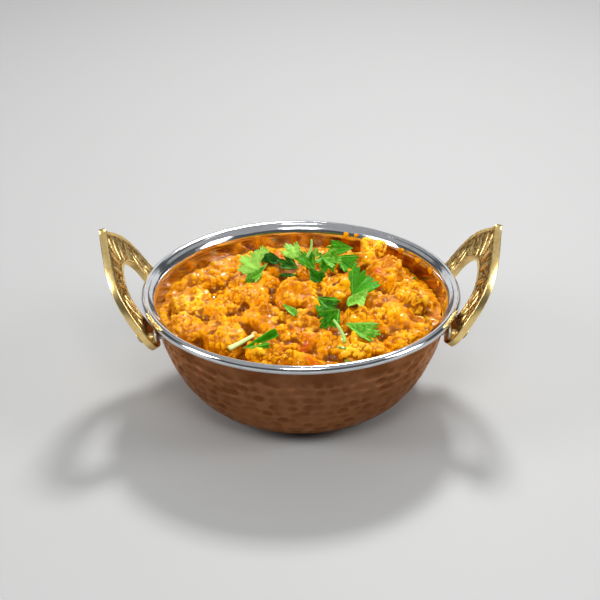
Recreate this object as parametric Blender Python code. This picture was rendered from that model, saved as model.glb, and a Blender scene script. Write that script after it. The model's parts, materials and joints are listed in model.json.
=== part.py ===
"""A kadai of chunky masala curry.

A hammered copper bowl with a steel liner and a rolled steel rim, two arched brass handles on steel
rivets, and a lumpy heap of curry with coriander leaves and stems on top.

Metres, +Z up. The origin is at the middle of the bowl's base, X runs through the two handles, and the
front of the bowl faces -Y.
"""

import math

import bmesh
import bpy
from mathutils import Matrix, Vector, noise
from mathutils.bvhtree import BVHTree

MM = 0.001
GAP = 0.3 * MM                    # left between pieces that touch

# The bowl, measured on the copper's outer face
SIDES = 48                        # flats around the bowl, shared by copper, steel and curry
RIM_RADIUS = 73 * MM              # centre line of the rolled rim
RIM_HEIGHT = 53.8 * MM
BEAD_RADIUS = 2 * MM
WALL_RADIUS = 69.9 * MM           # just under the rim
WALL_HEIGHT = RIM_HEIGHT - BEAD_RADIUS
BASE_RADIUS = 26.4 * MM
BELLY_OUT = 2 / 2.86              # powers of the belly's curve: fuller outwards than downwards
BELLY_DOWN = 2 / 1.37
COPPER = 1.0 * MM
STEEL = 0.8 * MM
BELL_DROP = 5.2 * MM              # from the rim's centre line down to where the liner starts to flare
BELL_RISE = 6.3 * MM
FLANGE_DROP = 2.7 * MM            # down to the liner's underside, over the copper's edge
SMOOTH_BAND = 11 * MM             # unhammered copper below the rim
HAMMER_ROWS = 8
WALL_SHARES = [0.045, 0.16, 0.3, 0.44, 0.58, 0.72, 0.86, 0.985]    # rings down the belly

# The handles, measured on the face that looks inwards; "along" runs up the plate from its feet
PLATE = 3.45 * MM
FOOT_RADIUS = 66.9 * MM           # from the bowl's axis to along = 0
FOOT_HEIGHT = RIM_HEIGHT - 10 * MM
PLATE_LENGTH = 49.9 * MM
LEAN_FOOT = math.radians(34.4)    # from vertical
LEAN_TIP = math.radians(11.9)
LEAN_BULGE = math.radians(6.7)
ARCH_WIDTH = 30.9 * MM            # half the outer width
HOLE_WIDTH = 20.45 * MM           # half the finger hole's width
HOLE_LENGTH = 28.3 * MM
FOOT_TOP = 4 * MM                 # where each foot starts to round off
FOOT_ROUND = 7.3 * MM

# The rivets, one through each handle foot
RIVET_SIDE = 28.4 * MM            # from the XZ plane to the washer between plate and wall
RIVET_OUT = 67.1 * MM
RIVET_HEIGHT = 46.5 * MM
RIVET_YAW = math.radians(5)
SHANK = 1.5 * MM
WASHER_RADIUS = 3.5 * MM
WASHER_HALF = 1.3 * MM
HEAD_RADIUS = 3.0 * MM
HEAD_RISE = 1.1 * MM

# The curry
CURRY_DEPTH = COPPER + STEEL + 2 * GAP    # from the copper's outer face to the curry
CURRY_LEVEL = 44 * MM             # where the sauce meets the wall
CURRY_SWELL = 10 * MM             # how far the sauce rises under the middle of the heap
HEAP_SHIFT = -4 * MM              # the heap's middle, towards the front
LUMP_SQUASH = 0.62                # a lump's height over its width
CRUMB = 0.12                      # how far a lump's surface wanders, over its width

# Lumps of the heap, in millimetres and degrees: x, y, height of the top, length, width, turn
LUMPS = [
    (-41, 15, 56.0, 30, 20, 20), (-51, -3, 54.5, 22, 26, 0), (-38, -13, 55.5, 24, 17, 70),
    (-23, -6, 59.0, 22, 19, -20), (-15, 3, 60.0, 11, 13, 0), (-2, -7, 61.5, 27, 22, -10),
    (17, -5, 61.5, 24, 22, 15), (27, -27, 58.0, 28, 19, 15), (41, -22, 58.0, 22, 22, 60),
    (49, -7, 58.5, 20, 24, -30), (41, 16, 59.5, 20, 30, 20), (37, 39, 60.5, 15, 12, 20),
    (31, 30, 57.5, 20, 16, 0), (50, -27, 53.0, 18, 22, 30), (43, -38, 51.5, 17, 14, 30),
    (24, -46, 54.0, 22, 16, 10), (7, -42, 55.0, 22, 18, -10), (-4, -55, 52.5, 20, 10, 0),
    (-17, -50, 54.0, 20, 16, 30), (-33, -37, 55.0, 26, 21, -30), (-52, -23, 53.0, 20, 24, 20),
    (-18, -23, 58.0, 27, 20, 0), (-2, -29, 57.0, 19, 16, 0), (-15, 24, 57.5, 25, 22, 0),
    (9, 21, 58.5, 26, 22, 0), (-29, 37, 52.5, 24, 18, 30), (-2, 42, 53.5, 28, 18, 0),
    (20, 46, 52.5, 20, 16, -30), (-44, -29, 52.0, 13, 11, 0), (6, -18, 57.5, 14, 12, 40),
    (34, -12, 57.0, 13, 12, 0), (-28, 10, 56.5, 13, 12, 0),
]

# Coriander leaves, in millimetres and degrees: x and y of the stalk end, heading of the tip, length
# and spread of the fan, slope up towards the back, fold along the midrib, curl, lobes
LEAVES = {
    "leaf_15": (-1, 15, 190, 9.5, 14, 14, 20, 12, 1),
    "leaf_01": (-19.5, 14, 141, 12, 62, 42, 8, 10, 3),
    "leaf_02": (-17.5, 23, 93, 9, 38, 46, 10, -15, 3),
    "leaf_03": (-15.5, 16.5, 233, 17, 15, 30, 38, 20, 1),
    "leaf_04": (-18, 5, 222, 6.5, 28, 35, 20, 0, 2),
    "leaf_05": (-8, 23, 188, 10.5, 48, 14, 24, 30, 1),
    "leaf_06": (-1, 19, 158, 11, 48, 26, 20, 20, 3),
    "leaf_07": (0, 21, 127, 11.5, 46, 46, 14, -30, 3),
    "leaf_08": (7, 13, 122, 13, 40, 44, 28, -30, 3),
    "leaf_09": (4, 13, 300, 17, 26, 46, 30, 80, 1),
    "leaf_10": (4.5, 23, 5, 7, 60, 40, 25, 20, 3),
    "leaf_11": (14.5, 12, 245, 11.5, 52, 42, 22, 15, 3),
    "leaf_12": (10, 9, 345, 10, 56, 46, 14, 20, 3),
    "leaf_13": (18.5, 26, 318, 13, 48, 42, 26, 25, 3),
    "leaf_14": (26, 30, 182, 13.5, 34, 46, 26, 15, 3),
    "leaf_16": (23.5, -12, 54, 16, 60, 44, 24, -30, 3),
    "leaf_17": (31, -13, 230, 19, 24, 50, 30, 75, 1),
    "leaf_18": (7, -17, 308, 14, 52, 36, 28, 20, 3),
    "leaf_19": (16.5, -30, 226, 13, 52, 46, 24, 20, 3),
    "leaf_20": (19, -38, 332, 18.5, 30, 36, 28, 20, 3),
    "leaf_21": (-9, -24, 313, 9.5, 20, 34, 20, 15, 1),
    "leaf_22": (-27, -52, 23, 17.5, 13, 28, 22, 15, 1),
    "leaf_23": (-25, -56, 5, 10, 15, 20, 18, 10, 1),
}

# Coriander stems, in millimetres and degrees: x and y of the lower end, heading, length, width,
# slope up towards the back, bend
STEMS = {
    "stem_01": (-33, -50, 37, 13.5, 2.6, 15, 8),
    "stem_02": (19, -49, 110, 13.5, 1.8, 24, 30),
    "stem_03": (4, 17, 75, 9.5, 1.5, 45, 40),
}
LEAF_THICKNESS = 0.45 * MM
LEAF_STEPS = 12                   # fan sectors of a leaf
LEAF_CUT = 0.24                   # share of the blade that the notches between lobes take
STEM_SIDES = 6


def clear_scene():
    for thing in list(bpy.data.objects):
        bpy.data.objects.remove(thing)


def material(name, colour, roughness, metallic=0.0):
    made = bpy.data.materials.new(name)
    made.use_nodes = True
    shader = made.node_tree.nodes["Principled BSDF"]
    shader.inputs["Base Color"].default_value = (*colour, 1)
    shader.inputs["Roughness"].default_value = roughness
    shader.inputs["Metallic"].default_value = metallic
    return made


def add_object(name, bm, look, sharp=35):
    """The bmesh as an object whose faces point out, smooth but for edges sharper than `sharp`."""
    bmesh.ops.recalc_face_normals(bm, faces=bm.faces)
    mesh = bpy.data.meshes.new(name)
    bm.to_mesh(mesh)
    bm.free()
    mesh.materials.append(look)
    mesh.shade_smooth()
    mesh.set_sharp_from_angle(angle=math.radians(sharp))
    made = bpy.data.objects.new(name, mesh)
    bpy.context.collection.objects.link(made)
    return made


def skin(rings, looped=False):
    """A closed bmesh through rings of points. A ring of one point is a pole, and every other ring has
    the same count. Looped, the last ring joins the first; otherwise the end rings are capped."""
    bm = bmesh.new()
    made = [[bm.verts.new(point) for point in ring] for ring in rings]
    following = made[1:] + made[:1] if looped else made[1:]
    for low, high in zip(made, following):
        if len(low) == len(high) == 1:
            continue
        for i in range(max(len(low), len(high))):
            corners = [low[i % len(low)], low[(i + 1) % len(low)]]
            corners += [high[(i + 1) % len(high)], high[i % len(high)]]
            bm.faces.new(list(dict.fromkeys(corners)))
    for end in () if looped else (made[0], made[-1]):
        if len(end) > 1:
            bm.faces.new(end)
    return bm


# ---- bowl ----

def belly(share):
    """Radius and height on the copper's outer face, from the rim (0) down to the base's edge (1)."""
    turn = share * math.pi / 2
    out = BASE_RADIUS + (WALL_RADIUS - BASE_RADIUS) * math.cos(turn) ** BELLY_OUT
    return out, WALL_HEIGHT * (1 - math.sin(turn) ** BELLY_DOWN)


def wall(share, depth):
    """A point of the belly's curve moved `depth` into the wall, square to it."""
    step = 1e-3
    above = belly(max(share - step, 0.0))
    below = belly(min(share + step, 1.0))
    run, fall = above[0] - below[0], above[1] - below[1]
    length = math.hypot(run, fall)
    out, height = belly(share)
    return out - depth * fall / length, height + depth * run / length


def share_at(height, depth):
    """How far down the belly the face `depth` inside the wall is at this height."""
    low, high = 0.0, 1.0
    while high - low > 1e-4:
        middle = (low + high) / 2
        if wall(middle, depth)[1] > height:
            low = middle
        else:
            high = middle
    return low


def circle(out, height, phase=0.0):
    """A ring of the bowl: SIDES points, turned by `phase` of a side."""
    if out < 1e-6:
        return [Vector((0, 0, height))]
    turns = [math.tau * (i + phase) / SIDES for i in range(SIDES)]
    return [Vector((out * math.cos(t), out * math.sin(t), height)) for t in turns]


def wall_rings(depth, shares):
    """The face `depth` inside the wall, from the axis of the base up through the given shares."""
    rings = [circle(0, depth)]
    return rings + [circle(*wall(share, depth)) for share in reversed(shares)]


def copper_shell(look):
    """The copper wall. Its hammered rows are staggered, so each mark is a facet of its own."""
    top, start = WALL_SHARES[0], share_at(WALL_HEIGHT - SMOOTH_BAND, 0)
    rows = [start + (1 - start) * row / HAMMER_ROWS for row in range(HAMMER_ROWS)]
    outer = [circle(*belly(top)), circle(*belly((top + start) / 2))]
    outer += [circle(*belly(share), phase=0.5 * (row % 2)) for row, share in enumerate(rows)]
    outer += [circle(BASE_RADIUS, 0), circle(0, 0)]
    inner = wall_rings(COPPER, WALL_SHARES)
    return add_object("copper_shell", skin(outer + inner, looped=True), look, 50)


def rim_rings():
    """The liner's mouth: the wall flares out like a bell into a rolled bead, which ends beneath in a
    flange over the copper's edge."""
    inner = wall(0, COPPER + GAP + STEEL)[0]
    bell_run = RIM_RADIUS - 0.8 * BEAD_RADIUS - inner
    rings = []
    for step in range(4):
        turn = math.radians(4 + 20 * step)
        out = inner + bell_run * (1 - math.cos(turn))
        rings.append(circle(out, RIM_HEIGHT - BELL_DROP + BELL_RISE * math.sin(turn)))
    for step in range(9):
        turn = math.radians(150 - 34 * step)
        out = RIM_RADIUS + BEAD_RADIUS * math.cos(turn)
        rings.append(circle(out, RIM_HEIGHT + BEAD_RADIUS * math.sin(turn)))
    under = RIM_HEIGHT - FLANGE_DROP
    rings.append(circle(WALL_RADIUS + GAP, under + GAP))
    rings.append(circle(wall(0, COPPER + GAP)[0], under))
    return rings


def steel_liner(look):
    inside = wall_rings(COPPER + GAP + STEEL, WALL_SHARES[1:])
    outside = wall_rings(COPPER + GAP, WALL_SHARES[1:])
    rings = inside + rim_rings() + outside[::-1]
    return add_object("steel_liner", skin(rings, looped=True), look, 40)


# ---- handles ----

def lean(along):
    share = along / PLATE_LENGTH
    return LEAN_FOOT + (LEAN_TIP - LEAN_FOOT) * share + LEAN_BULGE * 4 * share * (1 - share)


def plate_point(across, along, depth):
    """World point of the +X handle: `across` is Y, `depth` goes out through the plate."""
    steps = 24
    middles = [lean(along * (i + 0.5) / steps) for i in range(steps)]
    out = FOOT_RADIUS + sum(math.sin(a) for a in middles) * along / steps
    up = FOOT_HEIGHT + sum(math.cos(a) for a in middles) * along / steps
    tilt = lean(along)
    return Vector((out + depth * math.cos(tilt), across, up - depth * math.sin(tilt)))


def arch_half_width(along):
    share = along / PLATE_LENGTH
    return ARCH_WIDTH * max(1 - share ** 4.35, 0) ** 1.56 * (1 + 0.1 * (1 - share))


def hole_half_width(along):
    share = along / HOLE_LENGTH
    return HOLE_WIDTH * max(1 - share ** 4.35, 0) ** 0.64 * (1 - 0.06 * (1 - share))


def arch_outline():
    """Pairs of plate points (across, along), outer edge and hole edge, from one foot to the crest."""
    outer, inner = arch_half_width(FOOT_TOP), hole_half_width(FOOT_TOP)
    middle, half = (outer + inner) / 2, (outer - inner) / 2
    pairs = []
    for degrees in (75, 50, 25):
        turn = math.radians(degrees)
        along = FOOT_TOP - FOOT_ROUND * math.sin(turn)
        reach = half * math.cos(turn)
        pairs.append(((middle + reach, along), (middle - reach, along)))
    steps = 15
    for step in range(steps + 1):
        share = math.sin(step / steps * math.pi / 2)
        up_out = FOOT_TOP + (PLATE_LENGTH - FOOT_TOP) * share
        up_in = FOOT_TOP + (HOLE_LENGTH - FOOT_TOP) * share
        pairs.append(((arch_half_width(up_out), up_out), (hole_half_width(up_in), up_in)))
    return pairs


def handle(name, side, look):
    """One arched plate, standing on two rounded feet, leaning out and meeting in a pointed crest."""
    strips = 3
    pairs = arch_outline()
    mirrored = [tuple((-across, along) for across, along in pair) for pair in pairs[-2::-1]]
    sections = []
    for (edge_across, edge_along), (hole_across, hole_along) in pairs + mirrored:
        section = []
        for depth, order in ((0.0, range(strips + 1)), (PLATE, range(strips, -1, -1))):
            for strip in order:
                share = strip / strips
                across = edge_across + (hole_across - edge_across) * share
                along = edge_along + (hole_along - edge_along) * share
                point = plate_point(across, along, depth)
                section.append(Vector((side * point.x, point.y, point.z)))
        sections.append(section)
    made = add_object(name, skin(sections), look, 40)
    for row in (-1, 1):
        cut_rivet_hole(made, side, row)
    return made


# ---- rivets ----

def rivet_axis(side, row):
    """The middle of a rivet's washer and the rivet's direction, level and out of the bowl."""
    middle = Vector((side * RIVET_OUT, row * RIVET_SIDE, RIVET_HEIGHT))
    return middle, Vector((side * math.cos(RIVET_YAW), row * math.sin(RIVET_YAW), 0))


def disc(centre, direction, radius, sides=14):
    """A ring round `direction`, or its centre alone where the radius is nothing."""
    if radius == 0:
        return [centre]
    level = direction.cross(Vector((0, 0, 1))).normalized()
    rise = level.cross(direction).normalized()
    turns = [math.tau * i / sides for i in range(sides)]
    return [centre + radius * (math.cos(t) * level + math.sin(t) * rise) for t in turns]


def wall_reach(middle, direction):
    """Distance back along the rivet to just clear of the copper, and the wall's direction out."""
    outward = Vector((middle.x, middle.y, 0)).normalized()
    wall_out = belly(share_at(middle.z, 0))[0]
    return (middle.xy.length - wall_out - 2 * GAP) / direction.dot(outward), outward


def plate_reach(middle, side):
    """Distance along the rivet to the handle's outer face, and that face's direction out."""
    along = 0.0
    for _ in range(30):
        point = plate_point(0, along, PLATE)
        along += (middle.z - point.z) / math.cos(lean(along))
    outward = Vector((side * math.cos(lean(along)), 0, -math.sin(lean(along))))
    return (point.x - abs(middle.x)) / math.cos(RIVET_YAW), outward


def cut_rivet_hole(plate, side, row):
    middle, direction = rivet_axis(side, row)
    rings = [disc(middle + direction * reach, direction, SHANK + GAP) for reach in (-PLATE, 4 * PLATE)]
    end = "front" if row < 0 else "back"
    cutter = add_object(f"{plate.name}_hole_{end}", skin(rings), plate.data.materials[0])
    cutter.hide_render = True
    cutter.display_type = "WIRE"
    cut = plate.modifiers.new("rivet hole", "BOOLEAN")
    cut.operation = "DIFFERENCE"
    cut.object = cutter


def rivet(name, side, row, look):
    """A neck against the wall, a rounded washer lying along the plate, a shank and a domed head."""
    middle, direction = rivet_axis(side, row)
    back, wall_outward = wall_reach(middle, direction)
    out, outward = plate_reach(middle, side)
    rings = [disc(middle - direction * back, wall_outward, SHANK)]
    for share in (-0.95, -0.8, -0.4, 0.4, 0.8, 0.95):
        radius = max(math.sqrt(1 - share ** 2) * WASHER_RADIUS, SHANK)
        rings.append(disc(middle + direction * share * WASHER_HALF, outward, radius))
    seat = middle + direction * out + outward * GAP
    rings.append(disc(seat, outward, SHANK))
    for rise, share in ((0.02, 1.0), (0.45, 0.86), (0.8, 0.55), (1.0, 0.0)):
        rings.append(disc(seat + outward * HEAD_RISE * rise, outward, HEAD_RADIUS * share))
    return add_object(name, skin(rings), look, 50)


# ---- curry ----

def curry_core():
    """Sauce filling the liner up to its level, swelling towards the middle."""
    level = share_at(CURRY_LEVEL, CURRY_DEPTH)
    shares = [share for share in WALL_SHARES if share > level + 0.03]
    rings = wall_rings(CURRY_DEPTH, [level] + shares)
    edge = wall(level, CURRY_DEPTH)[0]
    for share in (0.93, 0.84, 0.72, 0.5, 0.0):
        swell = min((1 - share ** 2) * 1.5, 1) ** 1.5
        shift = Vector((0, HEAP_SHIFT * (1 - share), 0))
        ring = circle(edge * share, CURRY_LEVEL + CURRY_SWELL * swell)
        rings.append([point + shift for point in ring])
    return skin(rings)


def lump(index, x, y, top, length, width, turn):
    """One crumbly lump: a squashed ball whose surface wanders, pressed flat where it meets the bowl."""
    bm = bmesh.new()
    bmesh.ops.create_icosphere(bm, subdivisions=2, radius=0.5)
    shift = Vector((3.7 * index, 1.3 * index, 0.9 * index))
    for vert in bm.verts:
        wander = noise.noise(vert.co * 2.6 + shift) + 0.7 * noise.noise(vert.co * 6 + shift)
        vert.co *= 1 + 2 * CRUMB * wander
    peak = max(vert.co.z for vert in bm.verts)
    size = Vector((length, width, LUMP_SQUASH * (length + width) / 2)) * MM
    place = Matrix.Translation((x * MM, y * MM, top * MM - peak * size.z))
    bm.transform(place @ Matrix.Rotation(math.radians(turn), 4, "Z") @ Matrix.Diagonal((*size, 1)))
    for vert in bm.verts:
        room = wall(share_at(vert.co.z, CURRY_DEPTH), CURRY_DEPTH)[0] - 2 * GAP
        out = math.hypot(vert.co.x, vert.co.y)
        if out > room:
            vert.co.xy *= room / out
    return bm


def curry(look):
    """The heap: the core with its lumps fused on."""
    heap = add_object("curry", curry_core(), look, 60)
    pieces = bpy.data.collections.new("lumps")
    bpy.context.scene.collection.children.link(pieces)
    for index, row in enumerate(LUMPS):
        made = add_object(f"lump_{index}", lump(index, *row), look)
        bpy.context.collection.objects.unlink(made)
        pieces.objects.link(made)
    join = heap.modifiers.new("lumps", "BOOLEAN")
    join.operation = "UNION"
    join.operand_type = "COLLECTION"
    join.collection = pieces
    join.solver = "MANIFOLD"
    bpy.context.view_layer.objects.active = heap
    bpy.ops.object.modifier_apply(modifier=join.name)
    for made in list(pieces.objects):
        bpy.data.objects.remove(made)
    bpy.data.collections.remove(pieces)
    return heap


# ---- coriander ----

def tree_of(thing):
    points = [thing.matrix_world @ vert.co for vert in thing.data.vertices]
    faces = [tuple(face.vertices) for face in thing.data.polygons]
    return BVHTree.FromPolygons(points, faces)


def settle(thing, grounds):
    """Move a piece up or down until it rests, just clear, on what lies beneath it."""
    mesh = thing.data
    samples = [vert.co for vert in mesh.vertices] + [face.center for face in mesh.polygons]
    samples += [(mesh.vertices[a].co + mesh.vertices[b].co) / 2 for a, b in mesh.edge_keys]
    shift = -1.0
    for sample in samples:
        for ground in grounds:
            hit = ground.ray_cast(Vector((sample.x, sample.y, 0.2)), Vector((0, 0, -1)))[0]
            if hit is not None:
                shift = max(shift, hit.z + 2 * GAP - sample.z)
    mesh.transform(Matrix.Translation((0, 0, shift)))


def lobed_reach(share, lobes):
    """The leaf's outline at -1..1 across its fan: a rounded blade cut into lobes."""
    turn = lobes * math.pi / 2 * share
    lobe = abs(math.cos(turn)) if lobes % 2 else abs(math.sin(turn))
    cut = 1 - LEAF_CUT * (1 - lobe ** 0.7) if lobes > 1 else 1
    return math.sqrt(1 - 0.97 * abs(share) ** 5) * (1 - 0.18 * share ** 2) * cut


def leaf_point(reach, turn, length, spread, fold, curl, wave):
    """A point of the blade: folded along the midrib, curled along its length, wavy at its edge."""
    x = reach * length * math.cos(turn)
    y = reach * length * math.sin(turn)
    rise = abs(y) * math.sin(fold) + wave * length * reach * math.sin(4 * turn / spread)
    y *= math.cos(fold)
    if abs(curl) > 1e-3:
        bend = curl / length
        return Vector((math.sin(bend * x) / bend - rise * math.sin(bend * x), y,
                       (1 - math.cos(bend * x)) / bend + rise * math.cos(bend * x)))
    return Vector((x, y, rise))


def facing(x, y, heading, slope):
    """Where a piece lies: turned to its heading, then tipped so that its plane rises to the back."""
    place = Matrix.Translation((x * MM, y * MM, 0)) @ Matrix.Rotation(math.radians(slope), 4, "X")
    return place @ Matrix.Rotation(math.radians(heading), 4, "Z")


def leaf(name, x, y, heading, length, spread, slope, fold, curl, lobes, look):
    """One thin leaf: the same fan of triangles above and below, with a rim between them."""
    spread, fold, curl = math.radians(spread), math.radians(fold), math.radians(curl)
    bm = bmesh.new()
    sides = []
    for lift in (0.0, LEAF_THICKNESS):
        stalk = bm.verts.new(leaf_point(0.03, 0, length * MM, spread, fold, curl, 0)
                             + Vector((0, 0, lift)))
        fan = []
        for step in range(LEAF_STEPS + 1):
            share = 2 * step / LEAF_STEPS - 1
            edge = lobed_reach(share, lobes)
            fan.append([bm.verts.new(leaf_point(edge * part, share * spread, length * MM, spread,
                                                fold, curl, 0.05) + Vector((0, 0, lift)))
                        for part in (0.5, 1.0)])
        sides.append((stalk, fan))
    for stalk, fan in sides:
        for here, there in zip(fan, fan[1:]):
            bm.faces.new((stalk, here[0], there[0]))
            bm.faces.new((here[0], here[1], there[0]))
            bm.faces.new((here[1], there[1], there[0]))
    rims = [[stalk, fan[0][0]] + [pair[1] for pair in fan] + [fan[-1][0]] for stalk, fan in sides]
    low, high = rims
    for i in range(len(low)):
        j = (i + 1) % len(low)
        bm.faces.new((low[i], low[j], high[j], high[i]))
    bm.transform(facing(x, y, heading, slope))
    return add_object(name, bm, look, 60)


def stem(name, x, y, heading, length, width, slope, bend, look):
    """A cut stem: a slightly flattened, tapering tube along an arc."""
    bend = math.radians(bend)
    steps = 6
    rings = []
    for step in range(steps + 1):
        share = step / steps
        turn = bend * (share - 0.5)
        run = length * MM * math.sin(turn) / bend
        rise = length * MM * (1 - math.cos(turn)) / bend
        radius = width / 2 * MM * (1 - 0.35 * share)
        centre = Vector((run, rise, 0))
        side = Vector((-math.sin(turn), math.cos(turn), 0))
        ring = []
        for corner in range(STEM_SIDES):
            angle = math.tau * (corner + 0.5) / STEM_SIDES
            ring.append(centre + radius * (math.cos(angle) * side
                                           + 0.8 * math.sin(angle) * Vector((0, 0, 1))))
        rings.append(ring)
    bm = skin(rings)
    bm.transform(facing(x, y, heading, slope) @ Matrix.Translation((length / 2 * MM, 0, 0)))
    return add_object(name, bm, look, 60)


def coriander(heap, leaf_look, stem_look):
    grounds = [tree_of(heap)]
    for name, row in LEAVES.items():
        made = leaf(name, *row, leaf_look)
        settle(made, grounds)
        grounds.append(tree_of(made))
    for name, row in STEMS.items():
        made = stem(name, *row, stem_look)
        settle(made, grounds)
        grounds.append(tree_of(made))


def main():
    clear_scene()
    copper = material("copper", (0.42, 0.19, 0.11), 0.36, 1.0)
    steel = material("steel", (0.62, 0.62, 0.61), 0.16, 1.0)
    brass = material("brass", (0.60, 0.40, 0.15), 0.3, 1.0)
    masala = material("masala", (0.62, 0.22, 0.02), 0.42)
    green = material("coriander_leaf", (0.08, 0.24, 0.03), 0.5)
    pale = material("coriander_stem", (0.35, 0.50, 0.14), 0.45)
    copper_shell(copper)
    steel_liner(steel)
    for side, place in ((-1, "left"), (1, "right")):
        handle(f"handle_{place}", side, brass)
        for row, end in ((-1, "front"), (1, "back")):
            rivet(f"rivet_{place}_{end}", side, row, steel)
    coriander(curry(masala), green, pale)


main()
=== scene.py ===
"""The looks of a kadai of chunky masala curry: a hammered copper bowl with a polished steel liner,
two engraved brass handles on steel rivets, a crumbly golden heap of curry, and torn coriander."""

import itertools
import json
import math

import bmesh
import bpy
import numpy as np
from mathutils import Matrix, Vector
from mathutils.bvhtree import BVHTree

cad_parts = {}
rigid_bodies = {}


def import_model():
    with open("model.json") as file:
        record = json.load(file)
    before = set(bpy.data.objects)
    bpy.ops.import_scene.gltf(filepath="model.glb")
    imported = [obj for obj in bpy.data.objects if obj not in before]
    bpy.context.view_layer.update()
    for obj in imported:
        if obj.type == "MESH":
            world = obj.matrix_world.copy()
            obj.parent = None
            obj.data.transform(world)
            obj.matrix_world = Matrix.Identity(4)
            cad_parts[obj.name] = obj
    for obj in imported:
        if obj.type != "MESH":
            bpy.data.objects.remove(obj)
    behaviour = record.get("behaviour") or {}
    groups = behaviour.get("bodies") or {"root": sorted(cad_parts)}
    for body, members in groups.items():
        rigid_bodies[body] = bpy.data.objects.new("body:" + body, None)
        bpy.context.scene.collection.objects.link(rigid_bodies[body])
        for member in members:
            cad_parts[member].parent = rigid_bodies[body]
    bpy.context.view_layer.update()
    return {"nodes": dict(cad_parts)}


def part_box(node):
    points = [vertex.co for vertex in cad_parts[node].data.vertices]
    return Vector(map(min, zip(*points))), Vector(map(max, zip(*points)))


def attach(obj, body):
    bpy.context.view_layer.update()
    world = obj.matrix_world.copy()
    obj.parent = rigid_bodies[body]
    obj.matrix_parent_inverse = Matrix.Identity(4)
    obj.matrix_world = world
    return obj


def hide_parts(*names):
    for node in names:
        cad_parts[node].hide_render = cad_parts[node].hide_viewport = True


for startup in list(bpy.data.objects):
    bpy.data.objects.remove(startup)
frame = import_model()

MM = 0.001
ABOVE_ALL = 0.2

# The bowl, as the CAD model has it; the tops of copper and liner are shares of the belly's curve
_, LINER_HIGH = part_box("steel_liner")
BEAD_RADIUS = 2 * MM
RIM_RADIUS = LINER_HIGH.x - BEAD_RADIUS
RIM_HEIGHT = LINER_HIGH.z - BEAD_RADIUS
WALL_RADIUS = RIM_RADIUS - 3.1 * MM
WALL_HEIGHT = RIM_HEIGHT - BEAD_RADIUS
BASE_RADIUS = 26.4 * MM
BELLY_OUT = 2 / 2.86
BELLY_DOWN = 2 / 1.37
COPPER = 1.0 * MM
GAP = 0.3 * MM
STEEL = 0.8 * MM
COPPER_TOP = 0.045
LINER_TOP = 0.16
BELL_DROP = 5.2 * MM
BELL_RISE = 6.3 * MM
FLANGE_DROP = 2.7 * MM

# The plain band under the rim, and one hammer mark's width, height, depth and stray
SMOOTH_BAND = 6 * MM
HAMMER_WIDE = 5.6 * MM
HAMMER_TALL = 4.8 * MM
HAMMER_DEEP = 0.62 * MM
HAMMER_STRAY = 1.6 * MM

# The film of curry on the liner, its colour also a painted reflection of the curry: its edge, and that
# edge's wander (reach, size, seed), in millimetres
FILM_AND_REFLECTION_TOP = 51
FILM_AND_REFLECTION_SOFT = 0.5
FILM_AND_REFLECTION_WANDER = ((1.6, 9, 81), (0.8, 3, 82))
FILM_AND_REFLECTION_LEAST = 0.66

# The handles
PLATE = 3.45 * MM
FOOT_RADIUS = 66.9 * MM
FOOT_HEIGHT = RIM_HEIGHT - 10 * MM
PLATE_LENGTH = 49.9 * MM
LEAN_FOOT = math.radians(34.4)
LEAN_TIP = math.radians(11.9)
LEAN_BULGE = math.radians(6.7)
HOLE_LENGTH = 28.3 * MM
FOOT_TOP = 4 * MM
FOOT_ROUND = 7.3 * MM

# Half width at the foot, length, slimness and flare of the arch and of its hole
ARCH = (30.9 * MM, PLATE_LENGTH, 1.56, 0.1)
HOLE = (20.45 * MM, HOLE_LENGTH, 0.64, -0.06)
POINTED = 4.35

# The engraving, in millimetres: its depth, and how far in from the edge its rows end
ENGRAVED_DEEP = 0.5
BEVEL = 0.45
PEBBLE = 1.25
RIM_END, GROOVE_END, BEADS_END = 0.8, 1.0, 1.9
BEAD_PITCH = 0.95
FIELD_EDGE = (2.3, 2.7)
LIP_EDGE = (1.5, 1.9)
LIP_LINE = 1.55
PLAIN_FOOT = 8.5
OUTER_RELIEF = 0.92

# Engraved leaves, the middle one and then one of each pair, in millimetres and degrees: across, along,
# lean, length, width
ENGRAVED_MIDDLE = (0, 39, 0, 13, 3.4)
ENGRAVED_SIDE = [(5.2, 36.5, 22, 15, 3.0), (10.5, 32.5, 34, 14, 3.0), (16.5, 27.0, 46, 13, 2.8),
                 (21.0, 20.5, 8, 10, 2.6), (24.5, 19.5, -4, 10, 2.4), (23.0, 12.0, 14, 9, 2.6),
                 (26.5, 11.0, -10, 8, 2.2)]

# The rivets: their place, then the sizes of neck, washer and head
RIVET_SIDE = 28.4 * MM
RIVET_OUT = 67.1 * MM
RIVET_HEIGHT = 46.5 * MM
RIVET_YAW = math.radians(5)
RIVET_UP_PLATE = 3.5 * MM
NECK_SUNK = 0.4 * MM
NECK_SHARE = 0.95
SHANK = 1.5 * MM
WASHER_RADIUS = 3.5 * MM
WASHER_HALF = 1.3 * MM
HEAD_RADIUS = 3.0 * MM
HEAD_RISE = 1.1 * MM

# The curry, and the small lumps added to its solid: how many, their field and sizes in millimetres
CURRY_LEVEL = 44 * MM
VOXEL = 1.09 * MM
KNOBS = 330
KNOB_FIELD, KNOB_REACH = 64, 63
KNOB_SIZES = (1.2, 3.6)

# The heap's relief, in millimetres: size and height of each kind, its level, and the dark gaps' depth
CRUMB_SIZE, CRUMB_HIGH = 2.9, 0.95
GRIT_SIZE, GRIT_HIGH = 1.6, 0.65
FOLD_SIZE, FOLD_HIGH = 6.5, 0.7
SWELL_SIZE, SWELL_HIGH = 3.0, 0.35
RELIEF_LEVEL = 0.85
GAP_DEEP = 2.4

# How far the lumps' tops are raised and the valleys between them deepened, as shares of their height,
# and the rounds of relaxing to the mean surfaces from which creases, hollows and valleys are measured
TOPS_OUT, VALLEYS_DOWN = 0.6, 1.3
CREASE_ROUNDS, HOLLOW_ROUNDS, VALLEY_ROUNDS = 3, 14, 150

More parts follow.
